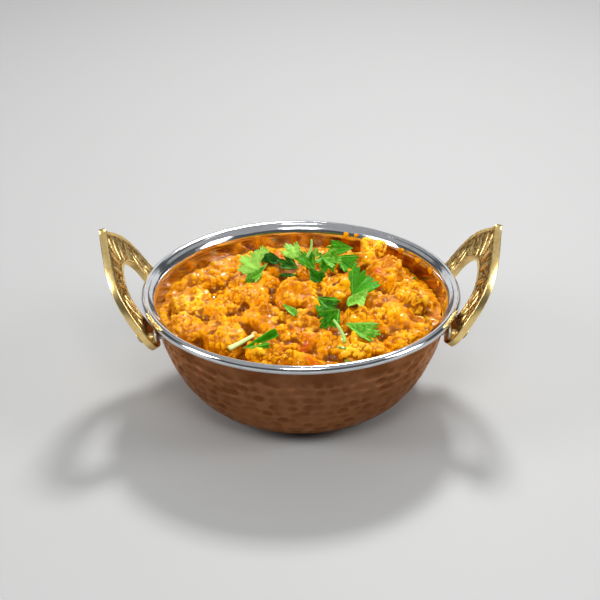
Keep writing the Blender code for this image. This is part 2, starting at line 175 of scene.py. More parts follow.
# Where the sauce's edge is drawn out to the wall: between these heights and these distances from it
DRAWN_HIGH, DRAWN_LOW = 52 * MM, 48 * MM
DRAWN_FAR, DRAWN_NEAR = 3.2 * MM, 1.2 * MM

# Zones of the curry, the pale ones partly yellow pieces and partly painted light, and gaps between its
# lumps, sunk and darkened with painted shade, in millimetres: x, y and radius
PALE_ZONES = [(-53, -10, 9), (-46, -2, 6), (54, -14, 6), (-10, -32, 4), (37, 36, 8), (8, -10, 4),
              (-20, -61, 6), (-2, -64, 6), (21, -56, 7)]
RED_ZONES = [(1, -47, 4), (-41, -54, 5), (37, 12, 3), (3, -59, 4), (-14, 42, 6), (12, -36, 3)]
BROWN_ZONES = [(-30, -14, 9), (22, -2, 9), (30, -26, 7), (24, 6, 6), (-44, -38, 6), (-26, -44, 6),
               (44, 20, 7)]
DARK_GAPS = [(-27, -16, 2.4), (-41, -36, 2.6), (30, -21, 1.8), (16, -8, 2.4), (-8, -5, 1.6),
             (-4, 16, 2.2)]

# Bits in the curry, in millimetres: x and y
TOMATO = [(1, -47), (-41, -54), (4, -58), (37, 12), (-35, -50), (14, -38), (-20, 45), (-6, 50), (30, 16)]
PEPPER = [(7, -61), (15, -50), (19, -55), (-25, -60), (-8, 53), (-12, 47), (17, -52), (-50, 30), (56, 30)]
ONION = [(44, 38), (50, 24), (57, 11), (-30, 49), (-22, -38), (12, 50), (47, 33)]

# Sizes of the loose bits, taken in turn, in millimetres: length, width and height
CRUMB_SIZES = [(1.6, 1.2, 1.1), (2.2, 1.5, 1.4), (1.1, 1.0, 0.9)]
SEED_SIZES = [(0.7, 0.6, 0.5), (0.5, 0.5, 0.4), (1.0, 0.7, 0.5)]
TOMATO_SIZES = [(4.0, 2.4, 1.4), (2.6, 2.0, 1.2), (3.2, 1.6, 1.0)]
PEPPER_SIZES = [(4.5, 2.0, 1.6), (3.0, 1.8, 1.2)]
ONION_SIZES = [(6.0, 3.0, 1.4), (4.0, 3.0, 1.6)]
STREWN_FIELD, STREWN_REACH = 62, 61

# Curry splashed on the liner's wall, in millimetres: x, y, z, width and height; and how thick it is
SPLASHES = [(62.5, -7, 50.5, 3.4, 2.6), (62.8, -10, 49.5, 1.8, 3.6), (62.4, -16, 49, 2.4, 4.0),
            (23, 60, 52.5, 2.2, 2.8), (28, 58.5, 53, 1.6, 2.2), (57, 22, 51, 4.0, 3.0),
            (60, 12, 50, 3.0, 2.4), (53, 32, 51.5, 3.4, 2.2), (47, 42, 52, 2.6, 3.2),
            (61, 3, 51, 2.0, 1.6), (58, -24, 50, 2.6, 2.0)]
SPLASH_THICK = 0.5

# Coriander leaves, in millimetres and degrees: number, x and y of the stalk end, heading of the tip,
# length and spread of the fan, slope up towards the back, fold along the midrib, curl, lobes, tint
LEAVES = [
    (15, -1, 15, 190, 9.5, 14, 14, 20, 12, 1, 0.15),
    (1, -19.5, 14, 141, 12, 62, 42, 8, 10, 3, 0.95),
    (2, -17.5, 23, 93, 9, 38, 46, 10, -15, 3, 0.9),
    (3, -15.5, 16.5, 233, 17, 15, 30, 38, 20, 1, 0.7),
    (4, -18, 5, 222, 6.5, 28, 35, 20, 0, 2, 0.7),
    (5, -8, 23, 188, 10.5, 48, 14, 24, 30, 1, 0.05),
    (6, -1, 19, 158, 11, 48, 26, 20, 20, 3, 0.1),
    (7, 0, 21, 127, 11.5, 46, 46, 14, -30, 3, 0.85),
    (8, 7, 13, 122, 13, 40, 44, 28, -30, 3, 0.35),
    (9, 4, 13, 300, 17, 26, 46, 30, 80, 1, 0.2),
    (10, 4.5, 23, 5, 7, 60, 40, 25, 20, 3, 0.75),
    (11, 14.5, 12, 245, 11.5, 52, 42, 22, 15, 3, 0.45),
    (12, 10, 9, 345, 10, 56, 46, 14, 20, 3, 0.65),
    (13, 18.5, 26, 318, 13, 48, 42, 26, 25, 3, 0.4),
    (14, 26, 30, 182, 13.5, 34, 46, 26, 15, 3, 0.4),
    (16, 23.5, -12, 54, 16, 60, 44, 24, -30, 3, 0.42),
    (17, 31, -13, 230, 19, 24, 50, 30, 75, 1, 0.8),
    (18, 7, -17, 308, 14, 52, 36, 28, 20, 3, 0.25),
    (19, 16.5, -30, 226, 13, 52, 46, 24, 20, 3, 0.3),
    (20, 19, -38, 332, 18.5, 30, 36, 28, 20, 3, 0.65),
    (21, -9, -24, 313, 9.5, 20, 34, 20, 15, 1, 0.75),
    (22, -27, -52, 23, 17.5, 13, 28, 22, 15, 1, 0.45),
    (23, -25, -56, 5, 10, 15, 20, 18, 10, 1, 0.5),
]
LEAF_THICK = 0.28 * MM
LOBE_CUT = 0.24
TOOTH_CUT_LOBED, TOOTH_CUT_PLAIN = 0.22, 0.07
VEIN_RISE = 0.06 * MM
VEIN_WIDTH = 0.16

# Coriander stems, in millimetres and degrees: number, x and y of the lower end, heading, length,
# width, slope up towards the back, bend, tint
STEMS = [
    (1, -33, -50, 37, 13.5, 2.6, 15, 8, 1.0),
    (2, 19, -49, 110, 13.5, 1.8, 24, 30, 0.5),
    (3, 4, 17, 75, 9.5, 1.5, 45, 40, 0.4),
]

# How leaves and stems lie: the percentage of points to lift clear of the heap, by how much, and the most
CLEAR_SHARE = 85
CLEARANCE = 0.2 * MM
MOST_LIFT = 2.5 * MM

# The camera: lens in millimetres, shifts as shares of its view, then azimuth and elevation in degrees
# and distance in metres
LENS = 95.65
SHIFT_X, SHIFT_Y = -0.0016667, -0.0148333
CAMERA_PLACE = (-1.5, 27.82, 0.75)

# Softboxes: azimuth and elevation in degrees, distance, width and height in metres, power in watts
SOFTBOXES = {
    "key": (168, 50, 0.9, 0.16, 0.16, 7.7),
    "ceiling": (0, 89.9, 1.0, 2.2, 2.2, 5),
    "front": (0, 52, 0.9, 0.3, 0.3, 3.3),
    "back": (180, 20, 1.2, 2.0, 0.5, 2.5),
    "left": (-75, 26, 0.9, 0.3, 0.4, 4.5),
    "right": (75, 26, 0.9, 0.3, 0.4, 4.5),
}
SKY = (0.85, 0.92, 1.0, 1)
SKY_STRENGTH = 0.1
FLOOR_REACH = 4
FLOOR_GREY = (0.36, 0.36, 0.355)


# ---- camera, light and floor ----

def new_object(name, data):
    """A new object, in the scene."""
    thing = bpy.data.objects.new(name, data)
    bpy.context.scene.collection.objects.link(thing)
    return thing


def hang(thing, azimuth, elevation, distance):
    """Put a camera or light this far from the middle of the rim, turned to look at it."""
    back = direction(azimuth, elevation)
    thing.location = Vector((0, 0, RIM_HEIGHT)) + back * distance
    thing.rotation_mode = "QUATERNION"
    thing.rotation_quaternion = (-back).to_track_quat("-Z", "Y")


def direction(azimuth, elevation):
    """The way to an azimuth, 0 at the front and 90 on the right, and an elevation."""
    a, e = math.radians(azimuth), math.radians(elevation)
    return Vector((math.sin(a) * math.cos(e), -math.cos(a) * math.cos(e), math.sin(e)))


def add_camera():
    data = bpy.data.cameras.new("camera")
    data.lens = LENS
    data.shift_x = SHIFT_X
    data.shift_y = SHIFT_Y
    made = new_object("camera", data)
    hang(made, *CAMERA_PLACE)
    bpy.context.scene.camera = made


def add_softbox(name, azimuth, elevation, distance, wide, tall, power):
    data = bpy.data.lights.new(name, "AREA")
    data.shape = "RECTANGLE"
    data.size = wide
    data.size_y = tall
    data.energy = power
    hang(new_object(name, data), azimuth, elevation, distance)


def add_world():
    world = bpy.data.worlds.new("studio")
    bpy.context.scene.world = world
    world.use_nodes = True
    background = world.node_tree.nodes["Background"]
    background.inputs["Color"].default_value = SKY
    background.inputs["Strength"].default_value = SKY_STRENGTH


def add_floor():
    bm = bmesh.new()
    bmesh.ops.create_grid(bm, x_segments=1, y_segments=1, size=FLOOR_REACH)
    mesh = bpy.data.meshes.new("floor")
    bm.to_mesh(mesh)
    bm.free()
    mesh.materials.append(Look("floor", roughness=0.6, base_color=FLOOR_GREY).material)
    new_object("floor", mesh)


# ---- materials ----

NOISE_ROUGHNESS = 0.55


class Look:
    """A procedural material under construction: its node tree and its Principled shader."""

    def __init__(self, name, **sockets):
        self.material = bpy.data.materials.new(name)
        self.material.use_nodes = True
        self.tree = self.material.node_tree
        self.shader = self.tree.nodes["Principled BSDF"]
        for socket, value in sockets.items():
            self.put(value, self.shader.inputs[socket.replace("_", " ").title().replace("Ior", "IOR")])
        self.coordinates = self.tree.nodes.new("ShaderNodeTexCoord").outputs["Object"]

    def put(self, value, socket):
        """Link a node's output to the socket, or set the socket to a number or a colour."""
        if isinstance(value, bpy.types.NodeSocket):
            self.tree.links.new(value, socket)
        elif socket.type == "RGBA":
            socket.default_value = (*value, 1)
        else:
            socket.default_value = value

    def colour(self, value):
        self.put(value, self.shader.inputs["Base Color"])

    def roughness(self, value):
        self.put(value, self.shader.inputs["Roughness"])

    def coat(self, value):
        self.put(value, self.shader.inputs["Coat Weight"])

    def attribute(self, name):
        """The mesh's own values of that name."""
        node = self.tree.nodes.new("ShaderNodeAttribute")
        node.attribute_name = name
        return node.outputs["Fac"]

    def noise(self, size, detail, stretch=None):
        """Smooth noise, 0..1, with features about `size` metres across."""
        node = self.tree.nodes.new("ShaderNodeTexNoise")
        node.inputs["Scale"].default_value = 1 / size
        node.inputs["Detail"].default_value = detail
        node.inputs["Roughness"].default_value = NOISE_ROUGHNESS
        where = self.coordinates
        if stretch:
            mapping = self.tree.nodes.new("ShaderNodeMapping")
            mapping.inputs["Scale"].default_value = stretch
            self.put(where, mapping.inputs["Vector"])
            where = mapping.outputs["Vector"]
        self.put(where, node.inputs["Vector"])
        return node.outputs["Fac"]

    def spread(self, value, low, high, to_low=0.0, to_high=1.0):
        """`value` stretched from low..high to to_low..to_high, smoothly and held at the ends."""
        node = self.tree.nodes.new("ShaderNodeMapRange")
        node.interpolation_type = "SMOOTHSTEP"
        for socket, given in zip(node.inputs[:5], (value, low, high, to_low, to_high)):
            self.put(given, socket)
        return node.outputs["Result"]

    def blend(self, share, first, second):
        """The first colour where `share` is 0, the second where it is 1."""
        node = self.tree.nodes.new("ShaderNodeMix")
        node.data_type = "RGBA"
        self.put(share, node.inputs["Factor"])
        self.put(first, node.inputs[6])
        self.put(second, node.inputs[7])
        return node.outputs[2]

    def combine(self, first, second, operation="ADD"):
        node = self.tree.nodes.new("ShaderNodeMath")
        node.operation = operation
        self.put(first, node.inputs[0])
        self.put(second, node.inputs[1])
        return node.outputs[0]

    def bump(self, height, distance):
        """Relief of `height` (0..1) times `distance` metres."""
        node = self.tree.nodes.new("ShaderNodeBump")
        node.inputs["Distance"].default_value = distance
        self.put(height, node.inputs["Height"])
        self.tree.links.new(node.outputs["Normal"], self.shader.inputs["Normal"])


def copper_look():
    """Browned copper: darker in the hammer marks and lighter on the ridges between them, partly patina and
    wear, partly painted shade in the marks and painted highlight on the ridges.
    """
    look = Look("copper", metallic=1.0, specular_tint=(1.0, 0.72, 0.55))
    patches = look.noise(14 * MM, 5)
    fine = look.noise(1.6 * MM, 3)
    nicks = look.noise(2.0 * MM, 2, stretch=(1, 1, 0.35))
    brown = look.blend(look.spread(patches, 0.35, 0.65), (0.31, 0.125, 0.054), (0.20, 0.068, 0.023))
    # The dent share paints shade into the hammer marks and a highlight on the ridges, over the patina and
    # wear
    worn_and_lit = look.blend(look.spread(look.attribute("dent"), 0.0, 0.8), (0.335, 0.142, 0.063), brown)
    dull = look.blend(look.spread(fine, 0.55, 0.75, 0, 0.35), worn_and_lit, (0.20, 0.08, 0.04))
    look.colour(look.blend(look.spread(nicks, 0.74, 0.80, 0, 0.8), dull, (0.05, 0.02, 0.012)))
    look.roughness(look.spread(patches, 0.3, 0.7, 0.16, 0.26))
    look.bump(fine, 0.04 * MM)
    return look.material


def steel_look():
    """Polished steel with faint smears, under a film of sauce by its attribute; the film's colour is also a
    painted reflection of the curry.
    """
    look = Look("steel", metallic=1.0)
    smear = look.noise(9 * MM, 3)
    film_and_reflection = look.attribute("film_and_reflection")
    clean = look.blend(look.spread(smear, 0.4, 0.7), (0.72, 0.73, 0.75), (0.62, 0.63, 0.65))
    # The film's colour: partly sauce stain, partly painted reflection of the curry in the steel
    stained_and_reflected = look.blend(look.spread(smear, 0.4, 0.65), (0.38, 0.175, 0.033), (0.185, 0.066, 0.005))
    look.colour(look.blend(film_and_reflection, clean, stained_and_reflected))
    look.roughness(look.spread(smear, 0.4, 0.7, 0.09, 0.17))
    look.bump(look.noise(0.9 * MM, 2), 0.008 * MM)
    return look.material


def rivet_look():
    """Worn steel, softer than the liner's polish."""
    look = Look("rivet", metallic=1.0)
    wear = look.noise(1.5 * MM, 3)
    look.colour(look.blend(look.spread(wear, 0.35, 0.65), (0.86, 0.84, 0.80), (0.66, 0.63, 0.58)))
    look.roughness(look.spread(wear, 0.3, 0.7, 0.32, 0.45))
    look.bump(wear, 0.03 * MM)
    return look.material


def brass_look():
    """Polished brass, a little darker and duller where the engraving is deep."""
    look = Look("brass", metallic=1.0, specular_tint=(1.0, 0.9, 0.65))
    relief = look.attribute("relief")
    grime = look.noise(2.2 * MM, 4)
    gold = look.blend(look.spread(grime, 0.4, 0.7), (1.0, 0.76, 0.34), (0.95, 0.63, 0.22))
    deep = look.combine(relief, look.spread(grime, 0.3, 0.7, -0.1, 0.1))
    look.colour(look.blend(look.spread(deep, 0.15, 0.65), (0.22, 0.10, 0.018), gold))
    look.roughness(look.spread(deep, 0.2, 0.8, 0.4, 0.25))
    look.bump(grime, 0.03 * MM)
    return look.material


def masala_look():
    """The curry: golden sauce and crumbs, with painted shade in creases, hollows, valleys and gaps and
    painted light on the tops of lumps, with zones and oily wet spots.
    """
    look = Look("masala", coat_roughness=0.05, specular_ior_level=0.1, specular_tint=(1.0, 0.6, 0.15))
    patches = look.noise(20 * MM, 2)
    streaks = look.noise(5 * MM, 4)
    fine = look.noise(0.9 * MM, 4)
    relief, hollow, crease = (look.attribute(name) for name in ("relief", "hollow", "crease"))
    share = look.combine(look.spread(patches, 0.36, 0.56), look.attribute("brown"), "SUBTRACT")
    colour = look.blend(share, (0.55, 0.165, 0.001), (0.84, 0.30, 0.001))
    layers = [
        (streaks, 0.52, 0.66, 0.8, (0.95, 0.43, 0.003)),
        (streaks, 0.48, 0.32, 0.8, (0.46, 0.12, 0.001)),
        # Darker between the crumbs and golden on them: partly the sauce's and crumbs' own colours, partly
        # painted shade and painted light
        (relief, 0.3, 0.05, 0.35, (0.42, 0.11, 0.0005)),
        (relief, 0.45, 0.85, 0.45, (0.95, 0.40, 0.002)),
        # Painted shade in the hollows, deepest in the valleys and gaps between lumps
        (hollow, 0.02, 0.32, 0.65, (0.30, 0.065, 0.001)),
        (look.attribute("valley"), 0.05, 1.0, 0.85, (0.12, 0.022, 0.0005)),
        # Painted light on the tops of the lumps
        (hollow, -0.1, -0.35, 0.45, (0.96, 0.44, 0.004)),
        (fine, 0.6, 0.72, 0.3, (0.34, 0.09, 0.001)),
        # Painted shade in fine creases and painted light on fine crests
        (crease, 0.02, 0.16, 0.6, (0.36, 0.09, 0.001)),
        (crease, -0.02, -0.16, 0.35, (1.0, 0.46, 0.01)),
    ]
    for value, low, high, most, tone in layers:
        colour = look.blend(look.spread(value, low, high, 0, most), colour, tone)
    # Pale yellow zones, partly yellow pieces in the curry, kept to the lumps' tops as painted light
    pale = look.combine(look.attribute("pale"), look.spread(streaks, 0.35, 0.6, 0, 0.85), "MULTIPLY")
    pale_lit_tops = look.combine(pale, look.spread(hollow, 0.1, -0.15), "MULTIPLY")
    yellow = look.blend(pale_lit_tops, colour, (1.0, 0.62, 0.03))
    red = look.combine(look.attribute("red"), look.spread(streaks, 0.35, 0.6, 0, 0.8), "MULTIPLY")
    look.colour(look.blend(red, yellow, (0.62, 0.09, 0.004)))
    look.roughness(look.spread(look.noise(3 * MM, 2), 0.4, 0.65, 0.13, 0.4))
    look.coat(look.spread(look.noise(1.3 * MM, 2), 0.53, 0.62, 0.04, 1.0))
    look.bump(fine, 0.28 * MM)
    return look.material


def leaf_look():
    """Coriander: deep green to pale yellow-green by each leaf's tint, with paler veins."""
    look = Look("coriander_leaf", specular_ior_level=0.14, specular_tint=(0.7, 1.0, 0.45))
    tint = look.attribute("tint")
    mottle = look.noise(1.8 * MM, 3)
    shade = look.combine(tint, look.spread(mottle, 0.3, 0.7, -0.15, 0.15))
    dark = look.blend(look.spread(shade, 0.0, 0.5), (0.004, 0.055, 0.0005), (0.045, 0.27, 0.004))
    green = look.blend(look.spread(shade, 0.5, 1.0), dark, (0.31, 0.58, 0.085))
    veins = look.combine(look.attribute("vein"), 0.4, "MULTIPLY")
    look.colour(look.blend(veins, green, (0.42, 0.68, 0.10)))
    look.roughness(look.spread(mottle, 0.3, 0.7, 0.3, 0.5))
    look.bump(mottle, 0.35 * MM)
    return look.material


def stem_look():
    """Coriander stem: green to nearly white by its tint, with fine fibres."""
    look = Look("coriander_stem", subsurface_weight=0.3, subsurface_scale=0.0015, coat_weight=0.3,
                coat_roughness=0.2)
    fibre = look.noise(0.7 * MM, 3)
    shade = look.combine(look.attribute("tint"), look.spread(fibre, 0.3, 0.7, -0.12, 0.12))
    look.colour(look.blend(look.spread(shade, 0.3, 1.0), (0.20, 0.46, 0.03), (0.62, 0.80, 0.30)))
    look.roughness(look.spread(fibre, 0.3, 0.7, 0.3, 0.45))
    look.bump(fibre, 0.08 * MM)
    return look.material


# ---- fields ----

def scatter(cubes, seed):
    """Three steady random numbers, 0..1, for each whole-number cube."""
    mixed = cubes[:, 0] * 73856093 ^ cubes[:, 1] * 19349663 ^ cubes[:, 2] * 83492791 ^ seed * 2971215073
    numbers = []
    for turn in (1, 2, 3):
        mixed = (mixed ^ (mixed >> 15)) * 2246822519 & 0xFFFFFFFF
        mixed = (mixed ^ (mixed >> 13)) * 3266489917 & 0xFFFFFFFF
        numbers.append(((mixed ^ (mixed >> 16)) & 0xFFFF) / 65535)
    return np.stack(numbers, axis=1)


def waves(points, size, seed):
    """Smooth noise, -1..1, with features about `size` across."""
    scaled = points / size
    low = np.floor(scaled).astype(np.int64)
    share = scaled - low
    share = share * share * (3 - 2 * share)
    total = np.zeros(len(points))
    for corner in itertools.product((0, 1), repeat=3):
        weight = np.prod(np.where(np.array(corner), share, 1 - share), axis=1)
        total += weight * scatter(low + corner, seed)[:, 0]
    return 2 * total - 1


def grains(points, size, seed):
    """Distance to the nearest of a jittered grid of centres, over `size`, and a number for it."""
    scaled = points / size
    low = np.floor(scaled).astype(np.int64)
    nearest = np.full(len(points), 9.0)
    tag = np.zeros(len(points))
    for offset in itertools.product((-1, 0, 1), repeat=3):
        random = scatter(low + offset, seed)
        reach = np.linalg.norm(scaled - (low + offset) - (0.15 + 0.7 * random), axis=1)
        closer = reach < nearest
        nearest[closer] = reach[closer]
        tag[closer] = random[closer, 0]
    return nearest, tag


def smooth(value, low, high):
    """0 below `low`, 1 above `high`, and a smooth step between them."""
    share = np.clip((value - low) / (high - low), 0, 1)
    return share * share * (3 - 2 * share)


# ---- meshes ----

def add_piece(name, points, faces, material, slot, *nodes, attributes=None):
    """A smooth-shaded piece that rides on the root body and stands for the given CAD nodes."""
    mesh = bpy.data.meshes.new(name)
    mesh.from_pydata(np.asarray(points).tolist(), [], np.asarray(faces).tolist())
    bm = bmesh.new()
    bm.from_mesh(mesh)
    bmesh.ops.recalc_face_normals(bm, faces=bm.faces)
    bm.to_mesh(mesh)
    bm.free()
    mesh.shade_smooth()
    mesh.materials.append(material)
    for key, values in (attributes or {}).items():
        layer = mesh.attributes.new(key, "FLOAT", "POINT")
        layer.data.foreach_set("value", np.asarray(values, dtype=np.float32))
    piece = new_object(name, mesh)
    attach(piece, "root")
    if nodes:
        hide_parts(*nodes)
    return piece


def grid_faces(rows, columns, closed=False):
    """Quads over a grid of points numbered row by row, each row closed on itself or open."""
    row, column = np.indices((rows - 1, columns if closed else columns - 1)).reshape(2, -1)
    following = (column + 1) % columns
    near, far = row * columns, (row + 1) * columns
    return np.stack([near + column, near + following, far + following, far + column], axis=1)


def tube_faces(rows, columns):
    """Faces of a tube of closed rows, with a cap at either end."""
    caps = [list(range(columns)), list(range((rows - 1) * columns, rows * columns))]
    return np.array(grid_faces(rows, columns, closed=True).tolist() + caps, dtype=object)


def turned(profile, sides):
    """Points of a surface of revolution, row by row, from (radius, height) pairs."""
    turns = np.linspace(0, math.tau, sides, endpoint=False)
    out, up = np.asarray(profile).T[:, :, None]
    return np.stack([out * np.cos(turns), out * np.sin(turns), up + 0 * turns], axis=2)


# ---- bowl ----

def belly(share):
    """Radius and height of the copper's outside, from 0 at the wall's top to 1 at the base's edge."""
    turn = np.clip(share, 0, 1) * math.pi / 2
    out = BASE_RADIUS + (WALL_RADIUS - BASE_RADIUS) * np.maximum(np.cos(turn), 0) ** BELLY_OUT
    return out, WALL_HEIGHT * (1 - np.sin(turn) ** BELLY_DOWN)


def wall(share, depth):
    """Radius and height of the belly's curve moved `depth` into the wall, square to it."""
    step = 1e-3
    above, below = belly(share - step), belly(share + step)
    run, fall = above[0] - below[0], above[1] - below[1]
    length = np.hypot(run, fall)
    out, up = belly(share)
    return out - depth * fall / length, up + depth * run / length


def wall_profile(depth, top, steps):
    """(radius, height) pairs from the axis, over the base and up the wall to the share `top`."""
    shares = 1 - (1 - top) * np.linspace(0.003, 1, steps)
    return [(0.4 * MM, depth)] + list(zip(*wall(shares, depth)))


def wall_radius(height, depth):
    """Radius of the wall `depth` into it, at a height in its upper part."""
    out, up = wall(np.linspace(0, 0.4, 200), depth)
    return np.interp(height, up[::-1], out[::-1])


def hammer_marks(radius, down):
    """Depth of the staggered marks over the grid of points, from radius and distance down the wall."""
    turns = np.linspace(0, math.tau, radius.shape[1], endpoint=False)
    dents = np.zeros(radius.shape)
    for index in range(int((down.max() - SMOOTH_BAND) / HAMMER_TALL) + 2):
        middle = SMOOTH_BAND + (index + 0.5) * HAMMER_TALL
        around = np.interp(middle, down[::-1], radius[::-1, 0])
        count = max(int(math.tau * around / HAMMER_WIDE), 8)
        for mark in range(count):
            jitter = scatter(np.array([[index, mark, 5]]), 3)[0] - (0.5, 0.5, 0)
            angle = math.tau * (mark + 0.5 * (index % 2) + 0.8 * jitter[0]) / count
            drop = middle + HAMMER_STRAY * jitter[1]
            gap = (turns - angle + math.pi) % math.tau - math.pi
            across = gap[None, :] * radius / ((0.5 + 0.15 * jitter[2]) * HAMMER_WIDE)
            reach = across ** 2 + ((down - drop)[:, None] / (0.56 * HAMMER_TALL)) ** 2
            depth = HAMMER_DEEP * (0.5 + 0.8 * jitter[2]) * np.maximum(1 - reach, 0)
            dents = np.maximum(dents, depth)
    return dents


def add_copper(material):
    """The copper shell with rows of staggered hammer marks below a smooth band."""
    sides = 600
    outside = wall_profile(0, COPPER_TOP, 120)
    outer = turned(outside, sides)
    inner = turned(wall_profile(COPPER, COPPER_TOP, 40)[::-1], sides)
    along = np.concatenate([[0], np.cumsum(np.hypot(*np.diff(outside, axis=0).T))])
    down = along[-1] - along
    radius = np.hypot(outer[..., 0], outer[..., 1])
    dents = hammer_marks(radius, down)
    fade = smooth(down, SMOOTH_BAND - 2 * MM, SMOOTH_BAND + 3 * MM)[:, None]
    outer[..., :2] *= (1 - dents * fade / np.maximum(radius, MM))[..., None]
    points = np.concatenate([outer, inner])
    dent = np.concatenate([(dents / HAMMER_DEEP - 1) * fade + 1, np.ones(inner.shape[:2])])
    add_piece("copper_hammered", points.reshape(-1, 3), grid_faces(len(points), sides, closed=True),
              material, "copper", "copper_shell", attributes={"dent": dent.ravel()})


def liner_profile():
    """(radius, height) pairs: inside, bell-shaped mouth, rolled bead, flange under it and outside."""
    outside_depth = COPPER + GAP
    inside_depth = COPPER + GAP + STEEL
    start = wall(np.array(0.0), inside_depth)[0]
    run = RIM_RADIUS - 0.8 * BEAD_RADIUS - start
    bell = [(start + run * (1 - math.cos(t)), RIM_HEIGHT - BELL_DROP + BELL_RISE * math.sin(t))
            for t in np.radians(np.linspace(4, 64, 24))]
    bead = [(RIM_RADIUS + BEAD_RADIUS * math.cos(t), RIM_HEIGHT + BEAD_RADIUS * math.sin(t))
            for t in np.radians(np.linspace(150, -122, 40))]
    under = RIM_HEIGHT - FLANGE_DROP
    flange = [(WALL_RADIUS + GAP, under + GAP), (wall(np.array(0.0), outside_depth)[0], under)]
    inside = wall_profile(inside_depth, LINER_TOP, 60)
    outside = wall_profile(outside_depth, LINER_TOP, 30)[::-1]
    return inside + bell + bead + flange + outside


def add_liner(material):
    """The polished liner, filmed with sauce low on its wall, most of all on the right; the film's colour is
    also a painted reflection of the curry.
    """
    sides = 320
    profile = liner_profile()
    points = turned(profile, sides).reshape(-1, 3)
    wander = sum(reach * waves(points / MM, size, seed) for reach, size, seed in FILM_AND_REFLECTION_WANDER)
    low = smooth(wander - points[:, 2] / MM, -FILM_AND_REFLECTION_TOP - FILM_AND_REFLECTION_SOFT, -FILM_AND_REFLECTION_TOP + FILM_AND_REFLECTION_SOFT)
    right = smooth(points[:, 0] / RIM_RADIUS, 0.1, 0.5)
    film_and_reflection = low * (FILM_AND_REFLECTION_LEAST + (1 - FILM_AND_REFLECTION_LEAST) * right)
    add_piece("steel_liner_smooth", points, grid_faces(len(profile), sides, closed=True), material,
              "steel", "steel_liner", attributes={"film_and_reflection": film_and_reflection})


# ---- handles ----

def lean(along):
    """The plate's angle from upright at a distance up it, in radians."""
    share = along / PLATE_LENGTH
    return LEAN_FOOT + (LEAN_TIP - LEAN_FOOT) * share + LEAN_BULGE * 4 * share * (1 - share)


def plate_points(across, along, depth):
    """Points of the +X handle: `across` is Y, `along` runs up the plate, `depth` goes out through it."""
    steps = 24
    middles = [lean(along * (i + 0.5) / steps) for i in range(steps)]
    out = FOOT_RADIUS + sum(np.sin(a) for a in middles) * along / steps
    up = FOOT_HEIGHT + sum(np.cos(a) for a in middles) * along / steps
    tilt = lean(along)
    return np.stack([out + depth * np.cos(tilt), across, up - depth * np.sin(tilt)], axis=-1)


def half_width(along, foot, length, slimness, flare):
    """Half the width of the arch or of its hole, at a distance up the plate."""
    share = along / length
    return foot * max(1 - share ** POINTED, 0) ** slimness * (1 + flare * (1 - share))


def arch_outline(steps):
    """Plate points (across, along) of the outer edge and of the hole's edge, foot to foot."""
    outer, inner = half_width(FOOT_TOP, *ARCH), half_width(FOOT_TOP, *HOLE)
    middle, half = (outer + inner) / 2, (outer - inner) / 2
    pairs = []
    for turn in np.radians(np.linspace(87, 5, 20)):
        along = FOOT_TOP - FOOT_ROUND * math.sin(turn)
        reach = half * math.cos(turn)
        pairs.append(((middle + reach, along), (middle - reach, along)))
    for share in np.sin(np.linspace(0, 1, steps) * math.pi / 2):
        up_out = FOOT_TOP + (PLATE_LENGTH - FOOT_TOP) * share
        up_in = FOOT_TOP + (HOLE_LENGTH - FOOT_TOP) * share
        pairs.append(((half_width(up_out, *ARCH), up_out), (half_width(up_in, *HOLE), up_in)))
    pairs = np.array(pairs)
    mirrored = pairs[-2::-1] * (-1, 1)
    return np.concatenate([pairs, mirrored])


def engraved_leaves():
    """Leaves of the engraving, in millimetres and degrees: across, along, heading, length, width."""
    rows = [(1, ENGRAVED_MIDDLE)] + [(side, row) for side in (-1, 1) for row in ENGRAVED_SIDE]
    return [(side * across, along, 90 - side * turn, length, width)
            for side, (across, along, turn, length, width) in rows]


def with_leaf(relief, across, along, leaf):
    """The relief with one long leaf on it: a groove round it, and a midrib cut down its middle."""
    x, y, heading, length, thick = leaf
    cosine, sine = math.cos(math.radians(heading)), math.sin(math.radians(heading))
    run = ((across - x) * cosine + (along - y) * sine) / (length / 2)
    off = (-(across - x) * sine + (along - y) * cosine) / (thick / 2)
    room = np.maximum(1 - run ** 2, 0) ** 0.8
    inside = smooth(room - np.abs(off), 0.0, 0.25)
    groove = smooth(0.3 - np.abs(np.abs(off) - room - 0.1), 0.0, 0.3) * (np.abs(run) < 1.1)
    midrib = 1 - 0.5 * np.exp(-(off / 0.16) ** 2)
    return relief * (1 - 0.9 * groove) * (1 - inside) + inside * 0.95 * midrib


def engraving(across, along, width, edge):
    """Relief over the inner face, 0 on the ground and 1 on the top, from plate points and the
    distance `edge` in from the outer edge, all in millimetres."""
    flat = np.stack([across, along, np.zeros_like(across)], axis=-1).reshape(-1, 3)
    pebble, _ = grains(flat, PEBBLE, 4)
    relief = 0.8 * np.sqrt(np.maximum(1 - (pebble / 0.58) ** 2, 0)).reshape(across.shape)
    for leaf in engraved_leaves():
        relief = with_leaf(relief, across, along, leaf)
    beads = 0.45 + 0.5 * np.abs(np.sin(math.pi * (along + 0.5 * np.abs(across)) / BEAD_PITCH))
    rows = [edge < RIM_END, edge < GROOVE_END, edge < BEADS_END]
    border = np.select(rows, [1.0, 0.25, beads], 0.3)
    lip = 1.0 - 0.55 * smooth(0.35 - np.abs(width - edge - LIP_LINE), 0, 0.3)
    in_field, in_lip = smooth(edge, *FIELD_EDGE), smooth(width - edge, *LIP_EDGE)
    relief = border * (1 - in_field) + relief * in_field
    relief = lip * (1 - in_lip) + relief * in_lip
    plain = smooth(PLAIN_FOOT - along, 0, 3)
    return relief * (1 - plain) + 0.9 * plain


